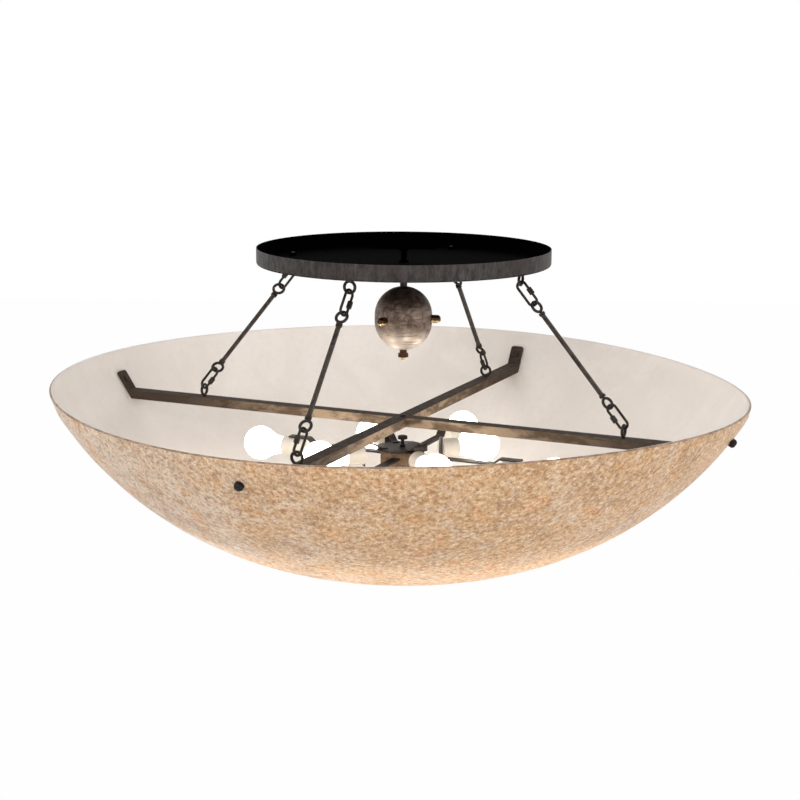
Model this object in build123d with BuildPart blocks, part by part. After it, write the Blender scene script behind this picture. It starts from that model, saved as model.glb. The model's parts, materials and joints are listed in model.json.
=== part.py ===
from build123d import *
from math import acos, asin, atan2, cos, degrees, hypot, radians, sin, sqrt, tan
import os

# A wide shallow bowl hangs under a round ceiling pan from four slanting hangers.
# The origin is the middle of the pan's open top edge, on the ceiling; everything is below it.
# All lengths are in millimetres and all angles in degrees.

# Ceiling pan and the strap that fixes it to a ceiling box
pan_diameter = 508
pan_height = 28
pan_wall = 1.6
pan_edge_radius = 4
strap_length = 112
strap_width = 22
strap_thickness = 2.5
box_screw_spacing = 88.9
box_slot_width = 5.2
box_slot_length = 12

# Threaded lamp pipe, used both for the stem of the ball and for the lamp column
pipe_diameter = 9.7
pipe_bore = 6.5
lock_nut_flats = 14
lock_nut_height = 4

# Ball under the pan, carried by the stem
neck_diameter = 12.5
neck_length = 40
ball_diameter = 100
ball_stretch = 11
ball_belt_height = 22
ball_wall = 3
ball_nut_diameter = 18
ball_nut_height = 8
ball_nut_gap = 6
ball_nut_chamfer = 1
ball_tip_length = 4
ball_tip_taper = 25
plug_count = 3
plug_angle = -10
plug_diameter = 14.5
plug_reach = 15.5
plug_face_flat = 1

# Hangers: an eye under the pan, a quick link, a square rod, a quick link and an eye on the arm
pan_eye_radius = 215
pan_eye_drop = 15
ring_diameter = 24
ring_wire = 5
eye_shank_diameter = 6
eye_nut_flats = 10
eye_nut_height = 5
link_inside_length = 42
link_inside_width = 11
link_wire = 4.5
link_gap = 5
sleeve_length = 12
sleeve_flats = 8
rod_side = 6.35
rod_chamfer = 0.4
rod_collar_diameter = 11
rod_collar_height = 5
rod_shank_diameter = 4
rod_shank_depth = 12

# Bowl: a wide shallow floor curve that runs into a tighter side curve up to the rim
bowl_drop = 240
bowl_diameter = 1219.2
bowl_depth = 320
bowl_floor_curve = 1110
bowl_side_curve = 600
bowl_wall = 6
bowl_rim_radius = 1.5

# Two crossed arms inside the bowl, with turned up ends that are screwed to its wall
arm_angle = -24
arm_drop = 58
arm_width = 25.4
arm_height = 15.9
arm_tab_thickness = 4
arm_tab_drop = 27
arm_tab_corner_radius = 5
arm_bend_radius = 5
arm_eye_radius = 402
arm_eye_drop = 45.5
cross_screw_diameter = 6
cross_screw_head_diameter = 11
cross_screw_head_height = 3.5
cross_screw_head_rim = 1

# Screws through the arm ends and the bowl, with a hand knob outside
knob_drop = 46
knob_diameter = 15
knob_height = 9.5
knob_face_flat = 2
knob_bore_depth = 7
wall_screw_diameter = 6
wall_screw_head_diameter = 12
wall_screw_head_height = 3
pad_diameter = 18
pad_thickness = 1.5

# Lamp group: a column on the bowl's floor carries a square hub, its eight-sided cap and two
# crossed straps
cap_drop = 113
cap_flats = 88
cap_thickness = 3
cap_chamfer = 1
hub_side = 60
hub_height = 62
hub_wall = 2
hub_corner_radius = 3
finial_head_diameter = 17
finial_head_height = 6
finial_stem_diameter = 6
finial_stem_length = 14
finial_shank_length = 14
finial_skirt_width = 2
finial_skirt_height = 4
floor_washer_diameter = 44
floor_washer_thickness = 2.5
column_tail = 8
lamp_strap_drop = 128
lamp_strap_width = 16
lamp_strap_thickness = 3
lamp_tab_drop = 116
lamp_tab_start = 190
lamp_tab_end = 223
lamp_step = 12
strap_bend_radius = 4
bracket_foot_radius = 30
bracket_rise_radius = 40
bracket_plate_radius = 74
bracket_top_drop = 96
bracket_bottom_drop = 142
bracket_width = 12
bracket_thickness = 2
bracket_bend_radius = 3

# Lamp sockets and bulbs
socket_diameter = 34
socket_bore = 27.4
inner_lamp_drop = 122
inner_socket_length = 31
outer_socket_length = 45
bulb_diameter = 60
bulb_length = 105
bulb_base_diameter = 26.6
bulb_base_length = 26
bulb_neck_diameter = 29
bulb_turn_angle = 125

# Clearances
screw_play = 0.1
seat_play = 0.1
slide_play = 0.06
link_play = 0.3
open_link_play = 0.8
lap_play = 0.1
slot_play = 0.3
seat_gap = 0.3

# Names of the four sides with their places around the centre, the side of the upper and of the
# lower quick link that its sleeve is on (+1 is the outer upper leg, -1 the inner lower leg), and
# how far the links and the rod's rings have settled in a turn about the hanger's own line
hanger_sides = [
    ("right", arm_angle, 1, -1, 0, 22),
    ("back", arm_angle + 90, 1, -1, 0, 20),
    ("left", arm_angle + 180, 1, -1, 20, 48),
    ("front", arm_angle + 270, -1, 1, 20, 0),
]
arm_angles = [side[1] for side in hanger_sides]
corner_angles = [angle + 45 for angle in arm_angles]

# Heights that follow from the sizes above
rim_z = -bowl_drop
pan_floor_z = -pan_height
ring_radius = (ring_diameter - ring_wire) / 2
pan_eye_z = pan_floor_z - pan_eye_drop
arm_top_z = rim_z - arm_drop
arm_bottom_z = arm_top_z - arm_height
arm_eye_z = rim_z - arm_eye_drop
cap_top_z = rim_z - cap_drop
hub_top_z = cap_top_z - cap_thickness
hub_floor_z = hub_top_z - hub_height
bowl_floor_z = rim_z - bowl_depth + bowl_wall
ball_top_z = pan_floor_z - neck_length
ball_centre_z = ball_top_z - ball_diameter / 2 - ball_stretch / 2
ball_bottom_z = ball_centre_z - ball_diameter / 2 - ball_stretch / 2

os.makedirs("parts", exist_ok=True)


def save(piece, name):
    """Label a finished piece and write it."""
    piece.part.label = name
    export_step(piece.part, f"parts/{name}.step")


def outward(angle):
    """Level direction away from the centre."""
    return Vector(cos(radians(angle)), sin(radians(angle)), 0)


def sideways(angle):
    """Level direction square to outward(angle)."""
    return Vector(-sin(radians(angle)), cos(radians(angle)), 0)


def spot(angle, radius, height):
    """Point at a distance from the centre line and a height."""
    return outward(angle) * radius + Vector(0, 0, height)


def upright_plane(angle):
    """Plane through the centre line: its x is the distance from it and its y the height."""
    return Plane(origin=(0, 0, 0), x_dir=outward(angle), z_dir=sideways(angle) * -1)


def facing_plane(angle, radius, height):
    """Upright plane that faces away from the centre."""
    return Plane(origin=spot(angle, radius, height), x_dir=sideways(angle), z_dir=outward(angle))


def ring_on_post(angle, radius, height):
    """Ring that stands across an arm: its axis points outward. Joins the part being made."""
    with BuildSketch(upright_plane(angle)) as section:
        with Locations((radius, height - ring_radius)):
            Circle(ring_wire / 2)
    revolve(section.sketch, axis=Axis(spot(angle, radius, height), outward(angle)))


# ---------------------------------------------------------------- bowl outline

# The floor curve is centred on the centre line. The centre of the side curve is as far from the
# floor curve's centre as the two curves differ, and one side curve away from the rim
floor_centre_z = rim_z - bowl_depth + bowl_floor_curve
centre_to_rim = hypot(bowl_diameter / 2, floor_centre_z - rim_z)
centre_to_side = bowl_floor_curve - bowl_side_curve
rim_lean = atan2(bowl_diameter / 2, floor_centre_z - rim_z)
side_lean = rim_lean - acos(
    (centre_to_side**2 + centre_to_rim**2 - bowl_side_curve**2) / (2 * centre_to_side * centre_to_rim)
)
side_centre_radius = centre_to_side * sin(side_lean)
side_centre_z = floor_centre_z - centre_to_side * cos(side_lean)

# Line of the wall screws: through the outer wall at knob_drop, square to it
screw_z = rim_z - knob_drop
screw_radius = side_centre_radius + sqrt(bowl_side_curve**2 - (side_centre_z - screw_z) ** 2)
screw_slope = degrees(atan2(screw_radius - side_centre_radius, side_centre_z - screw_z))


def screw_spot(depth):
    """Distance from the centre line and height of a point on a wall screw, depth inside."""
    return (screw_radius - depth * sin(radians(screw_slope)), screw_z + depth * cos(radians(screw_slope)))


def screw_plane(angle, depth):
    """Plane across a wall screw that faces out of the bowl."""
    radius, height = screw_spot(depth)
    slope = radians(screw_slope)
    outside = outward(angle) * sin(slope) - Vector(0, 0, cos(slope))
    return Plane(origin=spot(angle, radius, height), x_dir=sideways(angle), z_dir=outside)


with BuildPart() as bowl:
    with BuildSketch(Plane.XZ):
        with BuildLine() as outline:
            rim_ends = []
            for inset in (0, bowl_wall):
                side_radius = bowl_side_curve - inset
                rim_turn = degrees(asin((rim_z - side_centre_z) / side_radius)) + 90
                floor_turn = degrees(side_lean)
                CenterArc((0, floor_centre_z), bowl_floor_curve - inset, -90, floor_turn)
                side_centre = (side_centre_radius, side_centre_z)
                side_arc = CenterArc(side_centre, side_radius, floor_turn - 90, rim_turn - floor_turn)
                rim_ends.append(side_arc @ 1)
            Line(rim_ends)
            Line((0, rim_z - bowl_depth), (0, bowl_floor_z))
        make_face()
    revolve(axis=Axis.Z)
    fillet(bowl.edges().group_by(Axis.Z)[-1], bowl_rim_radius)
    for arm_side in arm_angles:
        with BuildSketch(screw_plane(arm_side, 2 * bowl_wall)):
            Circle(wall_screw_diameter / 2 + screw_play)
        extrude(amount=4 * bowl_wall, mode=Mode.SUBTRACT)
    with BuildSketch(Plane.XY.offset(bowl_floor_z + bowl_wall)):
        Circle(pipe_diameter / 2 + screw_play)
    extrude(amount=-4 * bowl_wall, mode=Mode.SUBTRACT)
save(bowl, "bowl")

# ---------------------------------------------------------------- ceiling pan, strap and stem

with BuildPart() as pan:
    with BuildSketch(Plane.XY.offset(pan_floor_z)):
        Circle(pan_diameter / 2)
    extrude(amount=pan_height)
    fillet(pan.edges().group_by(Axis.Z)[0], pan_edge_radius)
    offset(amount=-pan_wall, openings=pan.faces().sort_by(Axis.Z)[-1])
    with BuildSketch(Plane.XY.offset(pan_floor_z)):
        Circle(pipe_diameter / 2 + screw_play)
        for arm_side in arm_angles:
            with Locations(spot(arm_side, pan_eye_radius, 0)):
                Circle(eye_shank_diameter / 2 + screw_play)
    extrude(amount=2 * pan_wall, mode=Mode.SUBTRACT)
save(pan, "ceiling_pan")

with BuildPart() as mounting_strap:
    with BuildSketch(Plane.XY.offset(-strap_thickness)):
        SlotOverall(strap_length, strap_width)
        Circle(pipe_diameter / 2 + screw_play, mode=Mode.SUBTRACT)
        with GridLocations(box_screw_spacing, 0, 2, 1):
            SlotOverall(box_slot_length, box_slot_width, mode=Mode.SUBTRACT)
    extrude(amount=strap_thickness)
save(mounting_strap, "mounting_strap")

stem_bottom_z = ball_bottom_z - ball_nut_gap - ball_nut_height / 2
with BuildPart() as centre_stem:
    with BuildSketch(Plane.XY.offset(stem_bottom_z)):
        Circle(pipe_diameter / 2)
        Circle(pipe_bore / 2, mode=Mode.SUBTRACT)
    extrude(amount=-stem_bottom_z)
save(centre_stem, "centre_stem")

pan_nut_z = pan_floor_z + pan_wall
strap_nut_z = -strap_thickness - lock_nut_height
with BuildPart() as pan_nuts:
    for nut_z in (pan_nut_z, strap_nut_z):
        with BuildSketch(Plane.XY.offset(nut_z)):
            RegularPolygon(lock_nut_flats / 2, 6, major_radius=False)
            Circle(pipe_diameter / 2 + screw_play, mode=Mode.SUBTRACT)
        extrude(amount=lock_nut_height)
    with BuildSketch(Plane.XY.offset(pan_nut_z)):
        for arm_side in arm_angles:
            with Locations(spot(arm_side, pan_eye_radius, 0)):
                RegularPolygon(eye_nut_flats / 2, 6, major_radius=False)
                Circle(eye_shank_diameter / 2 + screw_play, mode=Mode.SUBTRACT)
    extrude(amount=eye_nut_height)
save(pan_nuts, "pan_nuts")

with BuildPart() as pan_eyes:
    for arm_side in arm_angles:
        ring_on_post(arm_side, pan_eye_radius, pan_eye_z)
        with BuildSketch(Plane.XY.offset(pan_eye_z + ring_radius)):
            with Locations(spot(arm_side, pan_eye_radius, 0)):
                Circle(eye_shank_diameter / 2)
        extrude(amount=pan_nut_z + eye_nut_height + pan_wall - pan_eye_z - ring_radius)
save(pan_eyes, "pan_eyes")

# ---------------------------------------------------------------- ball on the stem

with BuildPart() as neck_tube:
    with BuildSketch(Plane.XY.offset(ball_top_z)):
        Circle(neck_diameter / 2)
        Circle(pipe_diameter / 2 + screw_play, mode=Mode.SUBTRACT)
    extrude(amount=neck_length)
save(neck_tube, "neck_tube")


def ball_shell(bottom, top):
    """The part of the hollow ball between two heights from its middle. Joins the part being made."""
    inner_diameter = ball_diameter - 2 * ball_wall
    with BuildSketch(Plane.XZ) as section:
        with Locations((0, ball_centre_z)):
            SlotOverall(ball_diameter + ball_stretch, ball_diameter, rotation=90)
            SlotOverall(inner_diameter + ball_stretch, inner_diameter, rotation=90, mode=Mode.SUBTRACT)
        with Locations((ball_diameter / 2, ball_centre_z + (bottom + top) / 2)):
            Rectangle(ball_diameter, top - bottom, mode=Mode.INTERSECT)
    revolve(section.sketch, axis=Axis.Z)


ball_half_height = (ball_diameter + ball_stretch) / 2
with BuildPart() as ball_top:
    ball_shell(ball_belt_height / 2, ball_half_height)
    with BuildSketch(Plane.XY.offset(ball_centre_z)):
        Circle(pipe_diameter / 2 + screw_play)
    extrude(amount=ball_diameter, mode=Mode.SUBTRACT)
save(ball_top, "ball_top")

with BuildPart() as ball_belt:
    ball_shell(-ball_belt_height / 2, ball_belt_height / 2)
    for plug in range(plug_count):
        with BuildSketch(facing_plane(plug_angle + 360 / plug_count * plug, 0, ball_centre_z)):
            Circle(eye_shank_diameter / 2 + screw_play)
        extrude(amount=ball_diameter, mode=Mode.SUBTRACT)
save(ball_belt, "ball_belt")

with BuildPart() as ball_bottom:
    ball_shell(-ball_half_height, -ball_belt_height / 2)
    with BuildSketch(Plane.XY.offset(ball_centre_z)):
        Circle(pipe_diameter / 2 + screw_play)
    extrude(amount=-ball_diameter, mode=Mode.SUBTRACT)
save(ball_bottom, "ball_bottom")

with BuildPart() as ball_plugs:
    for plug in range(plug_count):
        plug_side = plug_angle + 360 / plug_count * plug
        with BuildSketch(facing_plane(plug_side, ball_diameter / 2 + seat_play, ball_centre_z)):
            Circle(plug_diameter / 2)
        extrude(amount=plug_reach)
        with BuildSketch(facing_plane(plug_side, ball_diameter / 2 - 2 * ball_wall, ball_centre_z)):
            Circle(eye_shank_diameter / 2)
        extrude(amount=2 * ball_wall + plug_reach / 2)
    dome_edges = ball_plugs.edges().filter_by(GeomType.CIRCLE).filter_by(
        lambda edge: hypot(edge.arc_center.X, edge.arc_center.Y) > ball_diameter / 2 + plug_reach / 2
    )
    fillet(dome_edges, plug_diameter / 2 - plug_face_flat)
save(ball_plugs, "ball_plugs")

finial_top_z = ball_bottom_z - ball_nut_gap
with BuildPart() as ball_finial:
    with BuildSketch(Plane.XY.offset(finial_top_z - ball_nut_height)):
        Circle(ball_nut_diameter / 2)
    extrude(amount=ball_nut_height)
    chamfer(ball_finial.edges().filter_by(GeomType.CIRCLE), ball_nut_chamfer)
    with BuildSketch(Plane.XY.offset(finial_top_z)):
        Circle(neck_diameter / 2)
    extrude(amount=ball_nut_gap)
    with BuildSketch(Plane.XY.offset(stem_bottom_z)):
        Circle(pipe_diameter / 2 + screw_play)
    extrude(amount=ball_diameter, mode=Mode.SUBTRACT)
    with BuildSketch(Plane.XY.offset(finial_top_z - ball_nut_height)):
        Circle(pipe_diameter / 2)
    extrude(amount=-ball_tip_length, taper=ball_tip_taper)
save(ball_finial, "ball_finial")

# ---------------------------------------------------------------- hangers

# A hanger runs from the lowest wire of the pan's ring to the highest wire of the arm's ring
top_hook_z = pan_eye_z - ring_radius
bottom_hook_z = arm_eye_z + ring_radius
hanger_run = arm_eye_radius - pan_eye_radius
hanger_fall = top_hook_z - bottom_hook_z
hanger_length = hypot(hanger_run, hanger_fall)
link_pitch = link_inside_length - ring_wire - 2 * link_play
top_ring_at = link_pitch + ring_radius
open_pitch = link_inside_length - ring_wire - link_play - open_link_play
bottom_ring_at = hanger_length - open_pitch - ring_radius
collar_at = ring_diameter / 2 + seat_gap


def hanger_down(angle):
    """Direction down a hanger."""
    return (outward(angle) * hanger_run - Vector(0, 0, hanger_fall)) * (1 / hanger_length)


def hanger_spot(angle, distance):
    """Point on a hanger's line, at a distance from its top."""
    return spot(angle, pan_eye_radius, top_hook_z) + hanger_down(angle) * distance


def hanger_plane(angle, distance):
    """Plane across a hanger that faces down it."""
    return Plane(origin=hanger_spot(angle, distance), x_dir=sideways(angle), z_dir=hanger_down(angle))


def link_plane(angle, middle, turn):
    """Plane of a quick link: its x runs down the hanger and its y, before the turn about the
    hanger's line, to the outer upper side."""
    outer_upper = hanger_down(angle).cross(sideways(angle))
    facing = sideways(angle) * -cos(radians(turn)) - outer_upper * sin(radians(turn))
    return Plane(origin=hanger_spot(angle, middle), x_dir=hanger_down(angle), z_dir=facing)


link_width = link_inside_width + link_wire
link_straight = link_inside_length + link_wire - link_width
top_link_middle = link_inside_length / 2 - ring_wire / 2 - link_play
bottom_link_middle = hanger_length + open_link_play + ring_wire / 2 - link_inside_length / 2


def quick_link(angle, middle, side, turn):
    """Oval link of round wire with a gap in one leg. Joins the part being made."""
    leg = side * link_width / 2
    half = link_straight / 2
    with BuildLine(link_plane(angle, middle, turn)) as loop:
        Line((link_gap / 2, leg), (half, leg))
        CenterArc((half, 0), link_width / 2, side * 90, side * -180)
        Line((half, -leg), (-half, -leg))
        CenterArc((-half, 0), link_width / 2, side * -90, side * -180)
        Line((-half, leg), (-link_gap / 2, leg))
    route = loop.wire()
    with BuildSketch(Plane(origin=route @ 0, z_dir=route % 0)) as section:
        Circle(link_wire / 2)
    sweep(section.sketch, path=route)


def link_sleeve(angle, middle, side, turn):
    """Six-sided threaded sleeve that closes a quick link. Joins the part being made."""
    link = link_plane(angle, middle, turn)
    end = link.from_local_coords((-sleeve_length / 2, side * link_width / 2, 0))
    with BuildSketch(Plane(origin=end, x_dir=link.z_dir * -1, z_dir=hanger_down(angle))) as section:
        RegularPolygon(sleeve_flats / 2, 6, major_radius=False)
        Circle(link_wire / 2 + slide_play, mode=Mode.SUBTRACT)
    extrude(section.sketch, amount=sleeve_length)


def rod_end(angle, ring_at, toward, turn):
    """Ring with a shank and the collar behind it. Joins the part being made."""
    across = link_plane(angle, ring_at, turn)
    with BuildSketch(across) as wire:
        with Locations((-toward * ring_radius, 0)):
            Circle(ring_wire / 2)
    revolve(wire.sketch, axis=Axis(across.origin, across.y_dir))
    with BuildSketch(hanger_plane(angle, ring_at + toward * ring_radius)) as shank:
        Circle(rod_shank_diameter / 2)
    shank_length = collar_at - ring_radius + rod_collar_height + rod_shank_depth
    extrude(shank.sketch, amount=toward * shank_length)
    with BuildSketch(hanger_plane(angle, ring_at + toward * collar_at)) as collar:
        Circle(rod_collar_diameter / 2)
        Circle(rod_shank_diameter / 2 + screw_play, mode=Mode.SUBTRACT)
    extrude(collar.sketch, amount=toward * rod_collar_height)


rod_top_at = top_ring_at + collar_at + rod_collar_height
rod_bottom_at = bottom_ring_at - collar_at - rod_collar_height

for side_name, side_angle, top_sleeve_side, bottom_sleeve_side, link_turn, ring_turn in hanger_sides:
    with BuildPart() as hanger_rod:
        with BuildSketch(hanger_plane(side_angle, rod_top_at)):
            Rectangle(rod_side, rod_side)
        extrude(amount=rod_bottom_at - rod_top_at)
        long_edges = Axis(hanger_spot(side_angle, 0), hanger_down(side_angle))
        chamfer(hanger_rod.edges().filter_by(long_edges), rod_chamfer)
        for end_at, toward in ((rod_top_at, 1), (rod_bottom_at, -1)):
            with BuildSketch(hanger_plane(side_angle, end_at)):
                Circle(rod_shank_diameter / 2 + screw_play)
            extrude(amount=toward * (rod_shank_depth + seat_gap), mode=Mode.SUBTRACT)
    save(hanger_rod, f"hanger_rod_{side_name}")

    with BuildPart() as rod_ends:
        rod_end(side_angle, top_ring_at, 1, ring_turn)
        rod_end(side_angle, bottom_ring_at, -1, ring_turn)
    save(rod_ends, f"rod_ends_{side_name}")

    with BuildPart() as quick_links:
        quick_link(side_angle, top_link_middle, top_sleeve_side, link_turn)
        quick_link(side_angle, bottom_link_middle, bottom_sleeve_side, link_turn)
    save(quick_links, f"quick_links_{side_name}")

    with BuildPart() as top_sleeve:
        link_sleeve(side_angle, top_link_middle, top_sleeve_side, link_turn)
    save(top_sleeve, f"top_sleeve_{side_name}")

    with BuildPart() as bottom_sleeve:
        link_sleeve(side_angle, bottom_link_middle, bottom_sleeve_side, link_turn)
    save(bottom_sleeve, f"bottom_sleeve_{side_name}")

# ---------------------------------------------------------------- arms

tab_outer_depth = bowl_wall + 2 * seat_play + pad_thickness
tab_inner_depth = tab_outer_depth + arm_tab_thickness


def tab_line_radius(depth, height):
    """Distance from the centre line of a turned up end's face at a height."""
    radius, level = screw_spot(depth)
    return radius + (height - level) / tan(radians(screw_slope))


def make_arm(arm, angle, notch_low_z, notch_high_z):
    """One arm with its turned up ends and its half of the lap joint, in the given builder."""
    slope = radians(screw_slope)
    tab_top_z = rim_z - arm_tab_drop
    outer_top = Vector(tab_line_radius(tab_outer_depth, tab_top_z), tab_top_z)
    inner_top = outer_top + Vector(-sin(slope), cos(slope)) * arm_tab_thickness
    with BuildSketch(upright_plane(angle)) as side_view:
        with BuildLine():
            Polyline(
                (0, arm_bottom_z),
                (tab_line_radius(tab_outer_depth, arm_bottom_z), arm_bottom_z),
                outer_top,
                inner_top,
                (tab_line_radius(tab_inner_depth, arm_top_z), arm_top_z),
                (0, arm_top_z),
                close=True,
            )
        make_face()
        mirror(about=Plane.YZ)
        fillet(side_view.vertices().group_by(Axis.Y)[0], arm_bend_radius)
    extrude(side_view.sketch, amount=arm_width / 2, both=True)
    for end in (angle, angle + 180):
        across = screw_plane(end, 0)
        top_corners = arm.edges().filter_by(Axis(across.origin, across.z_dir)).sort_by(Axis.Z)[-2:]
        fillet(top_corners, arm_tab_corner_radius)
    with BuildSketch(Plane.XY.offset(notch_low_z)) as notch:
        Rectangle(arm_width + 2 * lap_play, arm_width + 2 * lap_play, rotation=angle)
    extrude(notch.sketch, amount=notch_high_z - notch_low_z, mode=Mode.SUBTRACT)
    for end in (angle, angle + 180):
        with BuildSketch(screw_plane(end, 2 * tab_inner_depth)) as screw_hole:
            Circle(wall_screw_diameter / 2 + screw_play)
        extrude(screw_hole.sketch, amount=4 * bowl_wall, mode=Mode.SUBTRACT)
        with BuildSketch(Plane.XY.offset(arm_top_z)) as eye_hole:
            with Locations(spot(end, arm_eye_radius, 0)):
                Circle(eye_shank_diameter / 2 + screw_play)
        extrude(eye_hole.sketch, amount=-arm_height, mode=Mode.SUBTRACT)
    with BuildSketch(Plane.XY.offset(arm_top_z)) as centre_hole:
        Circle(cross_screw_diameter / 2 + screw_play)
    extrude(centre_hole.sketch, amount=-arm_height, mode=Mode.SUBTRACT)


lap_z = (arm_top_z + arm_bottom_z) / 2
with BuildPart() as long_arm:
    make_arm(long_arm, arm_angle, arm_bottom_z, lap_z + lap_play / 2)
save(long_arm, "long_arm")

with BuildPart() as cross_arm:
    make_arm(cross_arm, arm_angle + 90, lap_z - lap_play / 2, arm_top_z)
save(cross_arm, "cross_arm")

with BuildPart() as cross_screw:
    with BuildSketch(Plane.XY.offset(arm_top_z)):
        Circle(cross_screw_head_diameter / 2)
    extrude(amount=cross_screw_head_height)
    fillet(cross_screw.edges().group_by(Axis.Z)[-1], cross_screw_head_height - cross_screw_head_rim)
    with BuildSketch(Plane.XY.offset(arm_top_z)):
        Circle(cross_screw_diameter / 2)
    extrude(amount=-arm_height)
save(cross_screw, "cross_screw")

with BuildPart() as arm_eyes:
    for arm_side in arm_angles:
        ring_on_post(arm_side, arm_eye_radius, arm_eye_z)
        with BuildSketch(Plane.XY.offset(arm_bottom_z)):
            with Locations(spot(arm_side, arm_eye_radius, 0)):
                Circle(eye_shank_diameter / 2)
        extrude(amount=arm_eye_z - ring_radius - arm_bottom_z)
save(arm_eyes, "arm_eyes")

# ---------------------------------------------------------------- wall screws, pads and knobs

with BuildPart() as wall_screws:
    for arm_side in arm_angles:
        with BuildSketch(screw_plane(arm_side, tab_inner_depth + wall_screw_head_height)):
            Circle(wall_screw_head_diameter / 2)
        extrude(amount=wall_screw_head_height)
        with BuildSketch(screw_plane(arm_side, tab_inner_depth)):
            Circle(wall_screw_diameter / 2)
        extrude(amount=tab_inner_depth + knob_bore_depth - seat_gap)
save(wall_screws, "wall_screws")

with BuildPart() as wall_pads:
    for arm_side in arm_angles:
        with BuildSketch(screw_plane(arm_side, tab_outer_depth - seat_play)):
            Circle(pad_diameter / 2)
            Circle(wall_screw_diameter / 2 + screw_play, mode=Mode.SUBTRACT)
        extrude(amount=pad_thickness)
save(wall_pads, "wall_pads")

for side_name, side_angle, *_ in hanger_sides:
    with BuildPart() as knob:
        with BuildSketch(screw_plane(side_angle, -seat_gap)):
            Circle(knob_diameter / 2)
        extrude(amount=knob_height)
        outside = screw_plane(side_angle, 0)
        far_end = knob.faces().sort_by(Axis(outside.origin, outside.z_dir))[-1]
        fillet(far_end.edges(), knob_diameter / 2 - knob_face_flat)
        with BuildSketch(screw_plane(side_angle, 0)):
            Circle(wall_screw_diameter / 2 + slide_play)
        extrude(amount=knob_bore_depth, mode=Mode.SUBTRACT)
    save(knob, f"knob_{side_name}")

# ---------------------------------------------------------------- lamp column, hub and straps

# The inside washer's edge rests on the hollow floor, and the outside washer's middle under it
inside_floor_curve = bowl_floor_curve - bowl_wall
edge_rise = inside_floor_curve - sqrt(inside_floor_curve**2 - (floor_washer_diameter / 2) ** 2)
inside_washer_z = bowl_floor_z + edge_rise
outside_washer_z = bowl_floor_z - bowl_wall - floor_washer_thickness - seat_play
column_bottom_z = outside_washer_z - lock_nut_height - column_tail
with BuildPart() as lamp_column:
    with BuildSketch(Plane.XY.offset(column_bottom_z)):
        Circle(pipe_diameter / 2)
        Circle(pipe_bore / 2, mode=Mode.SUBTRACT)
    extrude(amount=hub_top_z - column_bottom_z)
save(lamp_column, "lamp_column")

with BuildPart() as column_nuts:
    floor_nut_z = inside_washer_z + floor_washer_thickness
    under_nut_z = outside_washer_z - lock_nut_height
    for nut_z in (hub_floor_z - lock_nut_height, hub_floor_z + hub_wall, floor_nut_z, under_nut_z):
        with BuildSketch(Plane.XY.offset(nut_z)):
            RegularPolygon(lock_nut_flats / 2, 6, major_radius=False)
            Circle(pipe_diameter / 2 + screw_play, mode=Mode.SUBTRACT)
        extrude(amount=lock_nut_height)
save(column_nuts, "column_nuts")

with BuildPart() as floor_washers:
    for washer_z in (inside_washer_z, outside_washer_z):
        with BuildSketch(Plane.XY.offset(washer_z)):
            Circle(floor_washer_diameter / 2)
            Circle(pipe_diameter / 2 + screw_play, mode=Mode.SUBTRACT)
        extrude(amount=floor_washer_thickness)
save(floor_washers, "floor_washers")

# The straps cross inside the hub, one just above the other
strap_heights = (rim_z - lamp_strap_drop + lamp_strap_thickness / 2 + seat_play / 2,
                 rim_z - lamp_strap_drop - lamp_strap_thickness / 2 - seat_play / 2)

with BuildPart() as hub_box:
    with BuildSketch(Plane.XY.offset(hub_floor_z)):
        Rectangle(hub_side, hub_side, rotation=arm_angle)
    extrude(amount=hub_height)
    fillet(hub_box.edges().filter_by(Axis.Z), hub_corner_radius)
    offset(amount=-hub_wall, openings=hub_box.faces().sort_by(Axis.Z)[-1])
    with BuildSketch(Plane.XY.offset(hub_floor_z)):
        Circle(pipe_diameter / 2 + screw_play)
    extrude(amount=2 * hub_wall, mode=Mode.SUBTRACT)
    for strap_z, side_angle in zip(strap_heights, arm_angles):
        with BuildSketch(facing_plane(side_angle, 0, strap_z)):
            Rectangle(lamp_strap_width + 2 * slot_play, lamp_strap_thickness + 2 * slot_play)
        extrude(amount=hub_side, both=True, mode=Mode.SUBTRACT)
save(hub_box, "hub_box")

with BuildPart() as hub_cap:
    with BuildSketch(Plane.XY.offset(hub_top_z)):
        RegularPolygon(cap_flats / 2, 8, major_radius=False, rotation=arm_angle)
        Circle(finial_stem_diameter / 2 + screw_play, mode=Mode.SUBTRACT)
    extrude(amount=cap_thickness)
    chamfer(hub_cap.faces().sort_by(Axis.Z)[-1].outer_wire().edges(), cap_chamfer)
save(hub_cap, "hub_cap")

with BuildPart() as hub_finial:
    with BuildSketch(Plane.XY.offset(hub_top_z - finial_shank_length)):
        Circle(finial_stem_diameter / 2)
    extrude(amount=finial_shank_length + cap_thickness + finial_stem_length)
    with BuildSketch(Plane.XY.offset(cap_top_z)):
        Circle(finial_stem_diameter / 2 + finial_skirt_width)
    extrude(amount=finial_skirt_height)
    with BuildSketch(Plane.XY.offset(cap_top_z + finial_stem_length)):
        Circle(finial_head_diameter / 2)
    extrude(amount=finial_head_height)
    fillet(hub_finial.edges().group_by(Axis.Z)[-1], finial_head_height / 3)
save(hub_finial, "hub_finial")


def bent_bar(angle, points, width, thickness, bend_radius):
    """Flat bar bent along points given by distance and height. Joins the part being made."""
    with BuildLine(upright_plane(angle)) as route:
        FilletPolyline(*points, radius=bend_radius)
    path = route.wire()
    with BuildSketch(Plane(origin=path @ 0, x_dir=sideways(angle), z_dir=path % 0)) as section:
        Rectangle(width, thickness)
    sweep(section.sketch, path=path)


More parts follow.
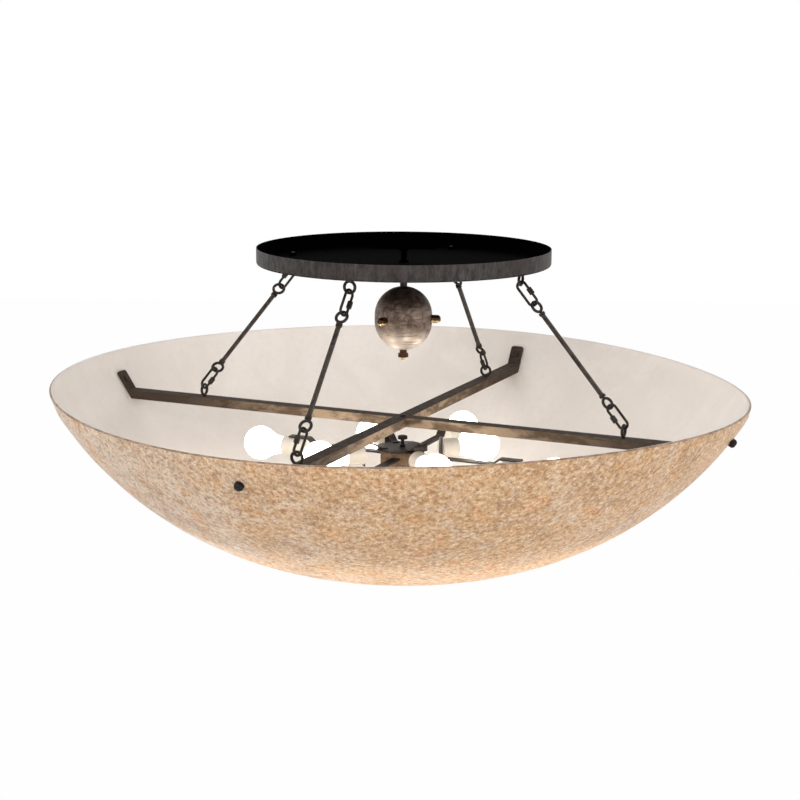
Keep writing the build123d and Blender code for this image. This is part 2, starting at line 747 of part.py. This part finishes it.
tab_z = rim_z - lamp_tab_drop
step_outer = lamp_tab_start - lamp_step / 2
step_inner = step_outer - lamp_step
with BuildPart() as lamp_straps:
    for strap_z, side_angle in zip(strap_heights, arm_angles):
        bent_bar(
            side_angle,
            [
                (-lamp_tab_end, tab_z),
                (-step_outer, tab_z),
                (-step_inner, strap_z),
                (step_inner, strap_z),
                (step_outer, tab_z),
                (lamp_tab_end, tab_z),
            ],
            lamp_strap_width,
            lamp_strap_thickness,
            strap_bend_radius,
        )
    with BuildSketch(Plane.XY.offset(rim_z - lamp_strap_drop - 2 * lamp_strap_thickness)):
        Circle(pipe_diameter / 2 + screw_play)
    extrude(amount=4 * lamp_strap_thickness, mode=Mode.SUBTRACT)
save(lamp_straps, "lamp_straps")

foot_z = cap_top_z + bracket_thickness / 2
plate_centre_radius = bracket_plate_radius - bracket_thickness / 2
with BuildPart() as socket_brackets:
    for corner in corner_angles:
        bent_bar(
            corner,
            [
                (bracket_foot_radius, foot_z),
                (bracket_rise_radius, foot_z),
                (plate_centre_radius, rim_z - bracket_top_drop),
                (plate_centre_radius, rim_z - bracket_bottom_drop),
            ],
            bracket_width,
            bracket_thickness,
            bracket_bend_radius,
        )
save(socket_brackets, "socket_brackets")

# ---------------------------------------------------------------- sockets and bulbs

inner_lamp_z = rim_z - inner_lamp_drop
outer_lamp_z = tab_z - lamp_strap_thickness / 2 - socket_diameter / 2
inner_socket_end = bracket_plate_radius + inner_socket_length
outer_socket_end = lamp_tab_start + outer_socket_length


def make_sockets(angles, start, length, height):
    """Cups that point outward, each with a round floor and a bore. Joins the part being made."""
    for angle in angles:
        with BuildSketch(facing_plane(angle, start, height)) as body:
            Circle(socket_diameter / 2)
        extrude(body.sketch, amount=length)
        with BuildSketch(facing_plane(angle, start + length - bulb_base_length - seat_gap, height)) as bore:
            Circle(socket_bore / 2)
        extrude(bore.sketch, amount=length, mode=Mode.SUBTRACT)


with BuildPart() as inner_sockets:
    make_sockets(corner_angles, bracket_plate_radius, inner_socket_length, inner_lamp_z)
save(inner_sockets, "inner_sockets")

with BuildPart() as outer_sockets:
    make_sockets(arm_angles, lamp_tab_start, outer_socket_length, outer_lamp_z)
save(outer_sockets, "outer_sockets")


def make_bulb(angle, socket_end, height):
    """Pear shaped bulb with its base in a socket. Joins the part being made."""
    face = socket_end + seat_gap
    globe_radius = bulb_diameter / 2
    globe_at = face - bulb_base_length + bulb_length - globe_radius
    turn = radians(bulb_turn_angle)
    turn_spot = (globe_at + globe_radius * cos(turn), height + globe_radius * sin(turn))
    with BuildSketch(upright_plane(angle)) as half_view:
        with BuildLine():
            Polyline(
                (face, height),
                (face - bulb_base_length, height),
                (face - bulb_base_length, height + bulb_base_diameter / 2),
                (face, height + bulb_base_diameter / 2),
                (face, height + bulb_neck_diameter / 2),
            )
            Spline(
                (face, height + bulb_neck_diameter / 2),
                turn_spot,
                tangents=[(1, 0.05), (sin(turn), -cos(turn))],
            )
            globe_curve = CenterArc((globe_at, height), globe_radius, bulb_turn_angle, -bulb_turn_angle)
            Line(globe_curve @ 1, (face, height))
        make_face()
    revolve(half_view.sketch, axis=Axis(spot(angle, 0, height), outward(angle)))


for ring_name, angles, socket_end, lamp_z in (
    ("inner", corner_angles, inner_socket_end, inner_lamp_z),
    ("outer", arm_angles, outer_socket_end, outer_lamp_z),
):
    for number, angle in enumerate(angles, start=1):
        with BuildPart() as bulb:
            make_bulb(angle, socket_end, lamp_z)
        save(bulb, f"{ring_name}_bulb_{number}")
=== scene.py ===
import json
from math import acos, asin, atan2, cos, hypot, pi, radians, sin, tau

import bpy
from mathutils import Euler, Matrix, Vector, noise


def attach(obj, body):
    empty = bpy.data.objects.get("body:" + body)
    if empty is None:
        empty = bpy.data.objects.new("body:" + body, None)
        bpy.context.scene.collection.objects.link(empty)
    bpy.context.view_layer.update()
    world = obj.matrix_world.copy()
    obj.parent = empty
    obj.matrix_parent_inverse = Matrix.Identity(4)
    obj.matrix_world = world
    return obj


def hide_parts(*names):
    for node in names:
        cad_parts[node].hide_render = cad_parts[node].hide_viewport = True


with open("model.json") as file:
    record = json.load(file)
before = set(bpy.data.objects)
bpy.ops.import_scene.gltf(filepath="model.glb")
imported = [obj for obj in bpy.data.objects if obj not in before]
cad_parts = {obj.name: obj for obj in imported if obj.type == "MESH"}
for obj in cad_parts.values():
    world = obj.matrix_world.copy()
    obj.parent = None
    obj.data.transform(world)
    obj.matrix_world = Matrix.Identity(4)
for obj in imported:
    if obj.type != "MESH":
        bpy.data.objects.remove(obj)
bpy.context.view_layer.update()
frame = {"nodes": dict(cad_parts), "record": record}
nodes = frame["nodes"]
scene = bpy.context.scene

# ---------------------------------------------------------------- camera

# Fitted to the pan, the rim and the bowl's outline in the photograph. The angles are in degrees.
camera_place = (-0.005, -2.9183, 0.3359)
camera_tilt = 78.285
camera_roll = 0.37
lens_length = 76.4
sensor_width = 36

camera_data = bpy.data.cameras.new("camera")
camera_data.lens = lens_length
camera_data.sensor_width = sensor_width
camera = bpy.data.objects.new("camera", camera_data)
camera.location = camera_place
tilt = Euler((radians(camera_tilt), 0, 0)).to_matrix()
roll = Matrix.Rotation(radians(camera_roll), 3, "Z")
camera.rotation_euler = (tilt @ roll).to_euler()
scene.collection.objects.link(camera)
scene.camera = camera
scene.view_settings.view_transform = "Standard"

# ---------------------------------------------------------------- material helpers

# The mix node has sockets of the same name for each kind of value. These number those for colours.
mix_first_color = 6
mix_second_color = 7
mix_result_color = 2


class Nodes:
    """Short calls for building a node tree. Positions are in the part's own metres."""

    def __init__(self, owner, out_kind="ShaderNodeOutputMaterial"):
        owner.use_nodes = True
        self.owner = owner
        self.tree = owner.node_tree
        self.tree.nodes.clear()
        self.out = self.add(out_kind).inputs["Surface"]
        self.coordinates = self.add("ShaderNodeTexCoord")
        self.place = self.coordinates.outputs["Object"]

    def add(self, kind, **settings):
        node = self.tree.nodes.new(kind)
        for key, value in settings.items():
            setattr(node, key, value)
        return node

    def join(self, source, target):
        self.tree.links.new(source, target)

    def feed(self, socket, value):
        """Give a socket what it needs: another socket's output, a colour or a number."""
        if isinstance(value, bpy.types.NodeSocket):
            self.join(value, socket)
        elif isinstance(value, tuple):
            socket.default_value = (*value, 1)
        else:
            socket.default_value = value

    def stretch(self, x, y, z):
        """Positions for a pattern that is drawn out along an axis where its scale is small."""
        mapping = self.add("ShaderNodeMapping")
        mapping.inputs["Scale"].default_value = (x, y, z)
        self.join(self.place, mapping.inputs["Vector"])
        return mapping.outputs["Vector"]

    def noise(self, scale, detail, roughness=0.6, distortion=0.0, place=None):
        node = self.add("ShaderNodeTexNoise")
        node.inputs["Scale"].default_value = scale
        node.inputs["Detail"].default_value = detail
        node.inputs["Roughness"].default_value = roughness
        node.inputs["Distortion"].default_value = distortion
        self.join(place or self.place, node.inputs["Vector"])
        return node.outputs["Fac"]

    def band(self, value, low, high, start=0.0, end=1.0):
        """Go smoothly from start to end while a value goes from low to high."""
        node = self.add("ShaderNodeMapRange", interpolation_type="SMOOTHSTEP")
        self.feed(node.inputs["Value"], value)
        node.inputs["From Min"].default_value = low
        node.inputs["From Max"].default_value = high
        node.inputs["To Min"].default_value = start
        node.inputs["To Max"].default_value = end
        return node.outputs["Result"]

    def math(self, operation, a, b=0.0):
        node = self.add("ShaderNodeMath", operation=operation)
        for socket, value in zip(node.inputs, (a, b)):
            self.feed(socket, value)
        return node.outputs["Value"]

    def mix(self, share, a, b):
        node = self.add("ShaderNodeMix", data_type="RGBA")
        self.feed(node.inputs["Factor"], share)
        self.feed(node.inputs[mix_first_color], a)
        self.feed(node.inputs[mix_second_color], b)
        return node.outputs[mix_result_color]

    def lay(self, under, over, pattern, low, high, most=1.0):
        """Lay one colour over another, from none to the most as the pattern goes from low to high."""
        return self.mix(self.band(pattern, low, high, 0.0, most), under, over)

    def axis(self, letter, source=None):
        node = self.add("ShaderNodeSeparateXYZ")
        self.join(source or self.place, node.inputs["Vector"])
        return node.outputs[letter]

    def facing_up(self):
        """1 where the surface faces up, 0 where it is upright and -1 where it faces down."""
        return self.axis("Z", self.coordinates.outputs["Normal"])

    def distance_from_axis(self):
        """Distance from the fixture's upright centre line."""
        across = self.math("POWER", self.axis("X"), 2.0)
        along = self.math("POWER", self.axis("Y"), 2.0)
        return self.math("SQRT", self.math("ADD", across, along))

    def relief(self, coarse, fine, coarse_share=0.6):
        """The height of a surface that has a coarse pattern and a fine one."""
        coarse_part = self.math("MULTIPLY", coarse, coarse_share)
        fine_part = self.math("MULTIPLY", fine, 1 - coarse_share)
        return self.math("ADD", coarse_part, fine_part)

    def bump(self, height, strength, distance):
        node = self.add("ShaderNodeBump")
        node.inputs["Strength"].default_value = strength
        node.inputs["Distance"].default_value = distance
        self.join(height, node.inputs["Height"])
        return node.outputs["Normal"]

    def surface(self, color, roughness, metallic=0.0, normal=None, specular=0.5, coat=0.0):
        shader = self.add("ShaderNodeBsdfPrincipled")
        self.feed(shader.inputs["Base Color"], color)
        self.feed(shader.inputs["Roughness"], roughness)
        self.feed(shader.inputs["Metallic"], metallic)
        self.feed(shader.inputs["Specular IOR Level"], specular)
        shader.inputs["Coat Weight"].default_value = coat
        if normal is not None:
            self.join(normal, shader.inputs["Normal"])
        self.join(shader.outputs["BSDF"], self.out)
        return shader

    def shine(self, kind, color, strength):
        """An even light of one colour and strength."""
        node = self.add(kind)
        self.feed(node.inputs["Color"], color)
        node.inputs["Strength"].default_value = strength
        return node.outputs[0]

    def seen(self):
        """1 where the camera, a reflection or a view through something looks, else 0."""
        path = self.add("ShaderNodeLightPath").outputs
        indirect = self.math("MAXIMUM", path["Is Glossy Ray"], path["Is Transmission Ray"])
        return self.math("MAXIMUM", path["Is Camera Ray"], indirect)

    def finish_with(self, share, lit, shown):
        """Light the scene by one shader, and show another in its place by a share."""
        blend = self.add("ShaderNodeMixShader")
        for socket, value in zip(blend.inputs, (share, lit, shown)):
            self.feed(socket, value)
        self.join(blend.outputs["Shader"], self.out)


def new_material(name):
    return Nodes(bpy.data.materials.new(name))


# ---------------------------------------------------------------- plain metals and rubber

# How many times finer than the clouds the fine grain and the rubbed places are
fine_ratio = 9
worn_ratio = 2.6


def patina(name, dark, mid, light, metallic=0.55, grain=55):
    """Metal or rubber with cloudy patches, fine dark grain and rubbed lighter places."""
    n = new_material(name)
    clouds = n.noise(grain, detail=6, roughness=0.65, distortion=0.4)
    fine = n.noise(grain * fine_ratio, detail=3, roughness=0.7)
    worn = n.noise(grain * worn_ratio, detail=5, roughness=0.7, distortion=0.8)
    color = n.lay(dark, mid, clouds, 0.34, 0.62)
    color = n.lay(color, light, worn, 0.54, 0.74, most=0.75)
    color = n.lay(color, dark, fine, 0.52, 0.75, most=0.45)
    roughness = n.band(clouds, 0.3, 0.7, start=0.42, end=0.68)
    bumps = n.bump(n.relief(clouds, fine), strength=0.35, distance=0.0006)
    n.surface(color, roughness, metallic=metallic, normal=bumps)
    return n.owner


bronze = patina(
    "bronze_paint",
    dark=(0.014, 0.010, 0.008),
    mid=(0.062, 0.046, 0.036),
    light=(0.17, 0.13, 0.10),
)
hardware = patina(
    "dark_hardware",
    dark=(0.010, 0.007, 0.006),
    mid=(0.040, 0.030, 0.024),
    light=(0.13, 0.10, 0.08),
    grain=140,
)
black_metal = patina(
    "blackened_metal",
    dark=(0.004, 0.0035, 0.0035),
    mid=(0.014, 0.011, 0.010),
    light=(0.05, 0.04, 0.035),
    grain=160,
)
# A paler tan copy of the bronze for the hub box: painted lamp light from the bulbs below it
hub_painted_lamp_light = patina(
    "hub_lamp_lit_tan",
    dark=(0.10, 0.062, 0.036),
    mid=(0.26, 0.17, 0.105),
    light=(0.50, 0.36, 0.24),
    grain=90,
)
zinc = patina(
    "zinc_steel",
    dark=(0.20, 0.18, 0.16),
    mid=(0.42, 0.39, 0.35),
    light=(0.62, 0.58, 0.52),
    metallic=0.9,
    grain=120,
)
rubber = patina(
    "pad_rubber",
    dark=(0.010, 0.010, 0.010),
    mid=(0.022, 0.021, 0.020),
    light=(0.05, 0.05, 0.05),
    metallic=0.0,
)

# ---------------------------------------------------------------- pan, ball, arms, bowl and lamps

# Where a finish begins to change and where it has wholly changed, in metres. Names with up, down
# or floor hold heights, the one with right holds places from left to right, and the others hold
# distances from the centre line.
# The pan's paint changes inside the thickness of its sheet, between its two faces.
pan_wall_change = (0.2528, 0.2532)
pan_floor_change = (-0.0268, -0.0275)
ball_painted_light_down = (-0.128, -0.168)
ball_painted_shade_up = (-0.135, -0.076)
arm_painted_light_inward = (0.48, 0.12)
bowl_warmer_right = (-0.55, 0.05)
bowl_glow_down = (-0.28, -0.54)
bowl_floor_glow = (-0.405, -0.480)


def make_pan():
    """Speckled dark paint outside. Inside, black paint darkened to near zero as painted shade."""
    n = new_material("pan_paint")
    streaks = n.noise(120, detail=6, roughness=0.7, distortion=0.3, place=n.stretch(1, 1, 0.35))
    wide = n.noise(22, detail=3, roughness=0.6, distortion=0.2)
    fine = n.noise(520, detail=3, roughness=0.7)
    dark_grey = (0.022, 0.019, 0.018)
    mid_grey = (0.078, 0.070, 0.067)
    brown = (0.046, 0.034, 0.031)
    pale_grey = (0.125, 0.113, 0.110)
    # The black inside the pan is painted shade laid over black paint
    inside_shade_black = (0.0006, 0.0005, 0.0005)
    outer = n.lay(dark_grey, mid_grey, streaks, 0.34, 0.66)
    outer = n.lay(outer, brown, wide, 0.42, 0.62, most=0.55)
    outer = n.lay(outer, pale_grey, fine, 0.55, 0.78, most=0.5)
    beyond_wall = n.band(n.distance_from_axis(), *pan_wall_change)
    below_floor = n.band(n.axis("Z"), *pan_floor_change)
    outside = n.math("MAXIMUM", beyond_wall, below_floor)
    color = n.mix(outside, inside_shade_black, outer)
    roughness = n.band(outside, 0, 1, start=0.95, end=0.52)
    specular = n.math("MULTIPLY", outside, 0.2)
    bumps = n.bump(n.relief(streaks, fine), strength=0.4, distance=0.0007)
    n.surface(color, roughness, metallic=0.25, normal=bumps, specular=specular)
    return n.owner


def make_pan_inside_shade():
    # Near-zero black for the pan's hollow and the pieces in it: black paint darkened further as painted
    # shade
    n = new_material("pan_inside_shade_black")
    grain = n.noise(300, detail=3)
    color = n.mix(grain, (0.0004, 0.0003, 0.0003), (0.0010, 0.0008, 0.0008))
    n.surface(color, roughness=0.95, specular=0.0)
    return n.owner


def make_ball():
    """Cloudy bronze with level scratches, with painted shade on top and painted lamp light underneath.
    """
    n = new_material("mottled_bronze")
    height = n.axis("Z")
    clouds = n.noise(52, detail=6, roughness=0.7, distortion=0.6)
    blots = n.noise(120, detail=5, roughness=0.7, distortion=0.3)
    scratches = n.noise(170, detail=4, roughness=0.65, distortion=0.2, place=n.stretch(0.16, 0.16, 2.2))
    dark_bronze = (0.100, 0.066, 0.050)
    mid_bronze = (0.33, 0.245, 0.195)
    pale_bronze = (0.52, 0.43, 0.36)
    cream = (0.86, 0.76, 0.66)
    scratch_brown = (0.060, 0.036, 0.026)
    shaded_top_brown = (0.036, 0.022, 0.015)
    color = n.lay(dark_bronze, mid_bronze, clouds, 0.33, 0.66)
    color = n.lay(color, pale_bronze, blots, 0.54, 0.72, most=0.8)
    # Painted lamp light: paler cream underneath, where the lamps below light the ball
    color = n.lay(color, cream, height, *ball_painted_light_down, most=0.75)
    color = n.lay(color, scratch_brown, scratches, 0.50, 0.66, most=0.65)
    # Painted shade: darker brown on top, under the pan
    upward = n.band(height, *ball_painted_shade_up)
    top = n.math("MULTIPLY", upward, n.band(clouds, 0.30, 0.60, start=0.95, end=0.55))
    color = n.mix(top, color, shaded_top_brown)
    roughness = n.band(blots, 0.3, 0.7, start=0.36, end=0.58)
    bumps = n.bump(n.relief(blots, scratches), strength=0.5, distance=0.0009)
    n.surface(color, roughness, metallic=0.7, normal=bumps)
    return n.owner


def make_arm_metal():
    """Painted shade makes the top nearly black. Painted lamp light makes the sides warmer and paler,
    most towards the lamps in the middle.
    """
    n = new_material("arm_metal")
    clouds = n.noise(70, detail=6, roughness=0.68, distortion=0.4)
    rubbed = n.noise(34, detail=4, roughness=0.65, distortion=0.6, place=n.stretch(0.5, 0.5, 1.4))
    fine = n.noise(480, detail=3, roughness=0.7)
    far_brown = (0.070, 0.052, 0.040)
    lit_tan = (0.36, 0.265, 0.18)
    rubbed_brown = (0.070, 0.046, 0.030)
    shaded_top_black = (0.014, 0.009, 0.006)
    shaded_top_brown = (0.095, 0.066, 0.048)
    fine_black = (0.018, 0.013, 0.010)
    # Painted lamp light on the sides, palest near the lamps in the middle
    side = n.lay(far_brown, lit_tan, n.distance_from_axis(), *arm_painted_light_inward)
    side = n.lay(side, rubbed_brown, rubbed, 0.40, 0.62, most=0.8)
    # Painted shade on the upward faces, away from the lamps below
    top = n.lay(shaded_top_black, shaded_top_brown, clouds, 0.36, 0.66)
    color = n.lay(side, top, n.facing_up(), 0.35, 0.75)
    color = n.lay(color, fine_black, fine, 0.54, 0.76, most=0.45)
    roughness = n.band(clouds, 0.3, 0.7, start=0.5, end=0.72)
    bumps = n.bump(n.relief(clouds, fine), strength=0.35, distance=0.0006)
    n.surface(color, roughness, normal=bumps, specular=0.06)
    return n.owner


def make_brass_painted_reflection():
    """Dark on top, with a painted reflection of the lit bowl in bright brass where the piece looks down.
    """
    n = new_material("brass_painted_reflection")
    grain = n.noise(260, detail=4, roughness=0.65)
    dark = n.mix(grain, (0.030, 0.014, 0.007), (0.12, 0.06, 0.03))
    # Painted reflection of the lit bowl, shown on the downward faces
    reflected_bowl_brass = n.mix(grain, (0.55, 0.38, 0.16), (0.92, 0.78, 0.50))
    uneven_facing = n.math("ADD", n.facing_up(), n.math("MULTIPLY", grain, 0.4))
    color = n.lay(dark, reflected_bowl_brass, uneven_facing, 0.05, -0.35)
    roughness = n.band(grain, 0.3, 0.7, start=0.22, end=0.4)
    bumps = n.bump(grain, strength=0.3, distance=0.0005)
    n.surface(color, roughness, metallic=0.85, normal=bumps)
    return n.owner


def make_bowl_outside():
    """Resin mottled like stone, with light from the lamps inside showing through it."""
    n = new_material("bowl_resin")
    height = n.axis("Z")
    patches = n.noise(9, detail=3, roughness=0.55, distortion=0.6)
    hues = n.noise(24, detail=4, roughness=0.62, distortion=0.5)
    clouds = n.noise(19, detail=6, roughness=0.72, distortion=0.8)
    grains = n.noise(135, detail=5, roughness=0.76, distortion=0.2)
    grit = n.noise(420, detail=3, roughness=0.75)
    pink = (0.71, 0.560, 0.430)
    gold = (0.640, 0.400, 0.210)
    orange = (0.700, 0.350, 0.150)
    mauve = (0.600, 0.450, 0.375)
    brown = (0.420, 0.240, 0.120)
    cream = (0.880, 0.740, 0.580)
    dark_brown = (0.310, 0.160, 0.080)
    grit_brown = (0.260, 0.135, 0.075)
    # The right and the middle are golden, and the left is paler and pinker
    warmth = n.math("ADD", n.band(n.axis("X"), *bowl_warmer_right, start=-0.28, end=0.22), patches)
    color = n.lay(pink, gold, warmth, 0.30, 0.72)
    color = n.lay(color, orange, hues, 0.52, 0.68, most=0.75)
    color = n.lay(color, mauve, hues, 0.47, 0.32, most=0.55)
    color = n.lay(color, brown, clouds, 0.47, 0.66, most=0.70)
    color = n.lay(color, cream, grains, 0.50, 0.36, most=0.70)
    color = n.lay(color, dark_brown, grains, 0.51, 0.62, most=0.80)
    color = n.lay(color, grit_brown, grit, 0.52, 0.66, most=0.55)
    bumps = n.bump(n.relief(grains, grit, coarse_share=0.5), strength=0.4, distance=0.0010)
    shader = n.surface(color, roughness=0.48, normal=bumps, specular=0.35)
    # The glow is strongest low down, where the lamps are nearest to the wall
    wall_glow = n.band(height, *bowl_glow_down, start=0.18, end=0.30)
    floor_glow = n.band(height, *bowl_floor_glow, end=0.50)
    n.join(color, shader.inputs["Emission Color"])
    n.join(n.math("ADD", wall_glow, floor_glow), shader.inputs["Emission Strength"])
    return n.owner


def make_bowl_lip():
    n = new_material("bowl_lip")
    tone = n.noise(70, detail=4, roughness=0.65)
    color = n.lay((0.25, 0.145, 0.09), (0.50, 0.35, 0.24), tone, 0.35, 0.65)
    bumps = n.bump(tone, strength=0.3, distance=0.0008)
    n.surface(color, roughness=0.5, normal=bumps)
    return n.owner


def make_bowl_inside():
    n = new_material("bowl_inside")
    haze = n.noise(7, detail=4, roughness=0.6, distortion=0.4)
    cloth = n.noise(90, detail=4, roughness=0.6, distortion=0.3)
    color = n.lay((0.825, 0.770, 0.722), (0.870, 0.822, 0.784), haze, 0.38, 0.62)
    color = n.lay(color, (0.77, 0.71, 0.66), cloth, 0.45, 0.7, most=0.25)
    bumps = n.bump(cloth, strength=0.12, distance=0.0006)
    n.surface(color, roughness=0.42, normal=bumps, specular=0.35)
    return n.owner


def make_porcelain():
    n = new_material("socket_porcelain")
    tone = n.noise(90, detail=4)
    color = n.mix(tone, (0.70, 0.64, 0.54), (0.82, 0.78, 0.70))
    n.surface(color, roughness=0.25, coat=0.4)
    return n.owner


def make_bulb():
    """Frosted glass of a bulb that is switched on."""
    n = new_material("frosted_bulb")
    lit_color = (1.0, 0.93, 0.84)
    lit_strength = 9.0
    grain = n.noise(240, detail=3)
    color = n.mix(grain, (0.93, 0.92, 0.89), (0.97, 0.96, 0.94))
    shader = n.surface(color, roughness=0.35)
    n.feed(shader.inputs["Emission Color"], lit_color)
    n.feed(shader.inputs["Emission Strength"], lit_strength)
    return n.owner


brass = make_brass_painted_reflection()
pan_inside_shade = make_pan_inside_shade()
arm_metal = make_arm_metal()
bowl_outside = make_bowl_outside()
by_slot = {
    "bowl_resin": bowl_outside,
    "frosted_bulb": make_bulb(),
    "socket_porcelain": make_porcelain(),
    "pad_rubber": rubber,
    "zinc_steel": zinc,
    "aged_brass": brass,
    "blackened_metal": black_metal,
    "mottled_bronze": make_ball(),
    "dark_hardware": hardware,
    "bronze_paint": bronze,
}
# Pieces whose finish differs from the rest of their slot, some of them for painted shade or painted lamp
# light
by_node = {
    "ceiling_pan": make_pan(),
    # The strap, nuts and stem inside the pan get painted shade instead of their own metal
    "mounting_strap": pan_inside_shade,
    "pan_nuts": pan_inside_shade,
    "centre_stem": pan_inside_shade,
    "neck_tube": hardware,
    "ball_finial": brass,
    "hub_box": hub_painted_lamp_light,
    "long_arm": arm_metal,
    "cross_arm": arm_metal,
}
for entry in frame["record"]["subparts"]:
    name = entry["node"]
    materials = nodes[name].data.materials
    materials.clear()
    materials.append(by_node.get(name, by_slot[entry["material_slot"]]))

# ---------------------------------------------------------------- the bowl's handmade shape

# The wall follows two arcs that meet smoothly, one for the floor and one for the side
rim_radius = 0.6096
rim_height = -0.240
bowl_bottom = -0.560
floor_curve = 1.110
side_curve = 0.600
wall = 0.006
hole_radius = 0.005
lip_height = 0.002
# Above this height the rim is warped. The arms are fixed below it, where the inner face is true.
warp_start = -0.266
mean_rise = 0.001
mean_inset = 0.003
dent_depth = 0.001
dents_per_metre = 22
columns = 320
floor_rings = 14
side_rings = 56
lip_rings = 8

floor_centre_z = bowl_bottom + floor_curve
centre_to_rim = hypot(rim_radius, floor_centre_z - rim_height)
centre_to_side = floor_curve - side_curve
side_start = atan2(rim_radius, floor_centre_z - rim_height) - acos(
    (centre_to_rim**2 + centre_to_side**2 - side_curve**2) / (2 * centre_to_rim * centre_to_side)
)
side_centre_radius = centre_to_side * sin(side_start)
side_centre_z = floor_centre_z - centre_to_side * cos(side_start)


def wall_point(lean, inset):
    """Radius and height where the wall's face leans this far from level."""
    if lean < side_start:
        reach = floor_curve - inset
        return reach * sin(lean), floor_centre_z - reach * cos(lean)
    reach = side_curve - inset
    return side_centre_radius + reach * sin(lean), side_centre_z - reach * cos(lean)


def wall_line(inset):
    """Points from the hole in the floor up to the lip."""
    first = asin(hole_radius / (floor_curve - inset))
    last = acos((side_centre_z - rim_height + lip_height) / (side_curve - inset))
    leans = [first + (side_start - first) * i / floor_rings for i in range(floor_rings)]
    leans += [side_start + (last - side_start) * i / side_rings for i in range(side_rings + 1)]
    return [wall_point(lean, inset) for lean in leans]


def lip_line(outer_end, inner_end):
    """Points over the rounded top of the wall."""
    middle = (outer_end[0] + inner_end[0]) / 2
    half = (outer_end[0] - inner_end[0]) / 2
    turns = [pi * i / lip_rings for i in range(1, lip_rings)]
    return [(middle + half * cos(turn), outer_end[1] + lip_height * sin(turn)) for turn in turns]


def waves(count, angle, right, onward):
    """That many waves round the rim, by their height at the right and a quarter wave on from there."""
    return right * cos(count * angle) + onward * sin(count * angle)


def rim_rise(angle):
    """How far the handmade rim stands above or below level, fitted to the photographed edge."""
    one_wave = waves(1, angle, right=-0.0065, onward=0.002)
    two_waves = waves(2, angle, right=-0.0015, onward=-0.004)
    three_waves = waves(3, angle, right=-0.0035, onward=-0.001)
    return mean_rise + one_wave + two_waves + three_waves


def rim_inset(angle):
    """How far in the rim lies. It is a little narrower from left to right than from front to back."""
    return mean_inset + waves(2, angle, right=0.002, onward=0) + waves(1, angle, right=0, onward=-0.0015)


def warped(radius, height, angle):
    """Raise or lower the wall near the rim along its slope, and pull it in but never push it out."""
    share = min(max((height - warp_start) / (rim_height - warp_start), 0), 1)
    share = share * share * (3 - 2 * share)
    slope = (side_centre_z - height) / (radius - side_centre_radius)
    rise = rim_rise(angle)
    shift = min(slope * rise - rim_inset(angle), 0)
    return radius + share * shift, height + share * rise


def dented(point):
    """Press a point of the outer face in a little, unevenly, as on a hand-laid wall."""
    depth = dent_depth * (1 + noise.noise(point * dents_per_metre)) / 2
    towards = Vector((0, 0, side_centre_z)) - point
    return point + towards.normalized() * depth


outer_line = wall_line(0)
inner_line = wall_line(wall)
lip = lip_line(outer_line[-1], inner_line[-1])
profile = outer_line + lip + inner_line[::-1]
outer_count = len(outer_line)
# The lip's finish ends on the middle of its top
lip_end = outer_count + len(lip) // 2

vertices = []
for index, (radius, height) in enumerate(profile):
    for column in range(columns):
        angle = tau * column / columns
        ring_radius, ring_height = warped(radius, height, angle)
        point = Vector((ring_radius * cos(angle), ring_radius * sin(angle), ring_height))
        vertices.append(dented(point) if index < outer_count else point)

faces = []
finishes = []
outside_finish, lip_finish, inside_finish = range(3)
for ring in range(len(profile)):
    next_ring = (ring + 1) % len(profile)
    if ring < outer_count - 1:
        finish = outside_finish
    elif ring < lip_end:
        finish = lip_finish
    else:
        finish = inside_finish
    for column in range(columns):
        next_column = (column + 1) % columns
        faces.append((
            ring * columns + column,
            ring * columns + next_column,
            next_ring * columns + next_column,
            next_ring * columns + column,
        ))
        finishes.append(finish)

bowl_data = bpy.data.meshes.new("handmade_bowl")
bowl_data.from_pydata(vertices, [], faces)
for material in (bowl_outside, make_bowl_lip(), make_bowl_inside()):
    bowl_data.materials.append(material)
bowl_data.polygons.foreach_set("material_index", finishes)
bowl_data.polygons.foreach_set("use_smooth", [True] * len(faces))
bowl = bpy.data.objects.new("handmade_bowl", bowl_data)
scene.collection.objects.link(bowl)
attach(bowl, "bowl_frame")
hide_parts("bowl")

# ---------------------------------------------------------------- floor and backdrop

floor_reach = 30
floor_z = -4.5
floor_color = (0.85, 0.84, 0.82)
# The share of plain white that the floor shows. The rest is the floor as it is lit, with its shadow.
floor_white_share = 0.98
studio_color = (1.0, 0.98, 0.96)
studio_level = 0.62
white = (1.0, 1.0, 1.0)
white_level = 1

corners = [(-1, -1), (1, -1), (1, 1), (-1, 1)]
floor_points = [(x * floor_reach, y * floor_reach, floor_z) for x, y in corners]
floor_data = bpy.data.meshes.new("floor")
floor_data.from_pydata(floor_points, [], [(0, 1, 2, 3)])
floor = bpy.data.objects.new("floor", floor_data)
scene.collection.objects.link(floor)

floor_look = new_material("floor")
matt = floor_look.add("ShaderNodeBsdfDiffuse")
floor_look.feed(matt.inputs["Color"], floor_color)
floor_white = floor_look.shine("ShaderNodeEmission", white, white_level)
white_share = floor_look.math("MULTIPLY", floor_look.seen(), floor_white_share)
floor_look.finish_with(white_share, matt.outputs["BSDF"], floor_white)
floor_data.materials.append(floor_look.owner)

scene.world = bpy.data.worlds.new("studio")
world_look = Nodes(scene.world, "ShaderNodeOutputWorld")
studio = world_look.shine("ShaderNodeBackground", studio_color, studio_level)
world_white = world_look.shine("ShaderNodeBackground", white, white_level)
world_look.finish_with(world_look.seen(), studio, world_white)

# ---------------------------------------------------------------- lamps

lamp_aim = Vector((0, 0, -0.35))


def lamp(name, place, size, power):
    """A round soft lamp that points at the fixture."""
    data = bpy.data.lights.new(name, "AREA")
    data.shape = "DISK"
    data.size = size
    data.energy = power
    light = bpy.data.objects.new(name, data)
    light.location = place
    light.rotation_euler = (lamp_aim - Vector(place)).to_track_quat("-Z", "Y").to_euler()
    scene.collection.objects.link(light)


lamp("key", place=(-1.9, -3.2, 1.3), size=2.4, power=45)
lamp("fill", place=(2.4, -2.6, -0.6), size=2.6, power=28)
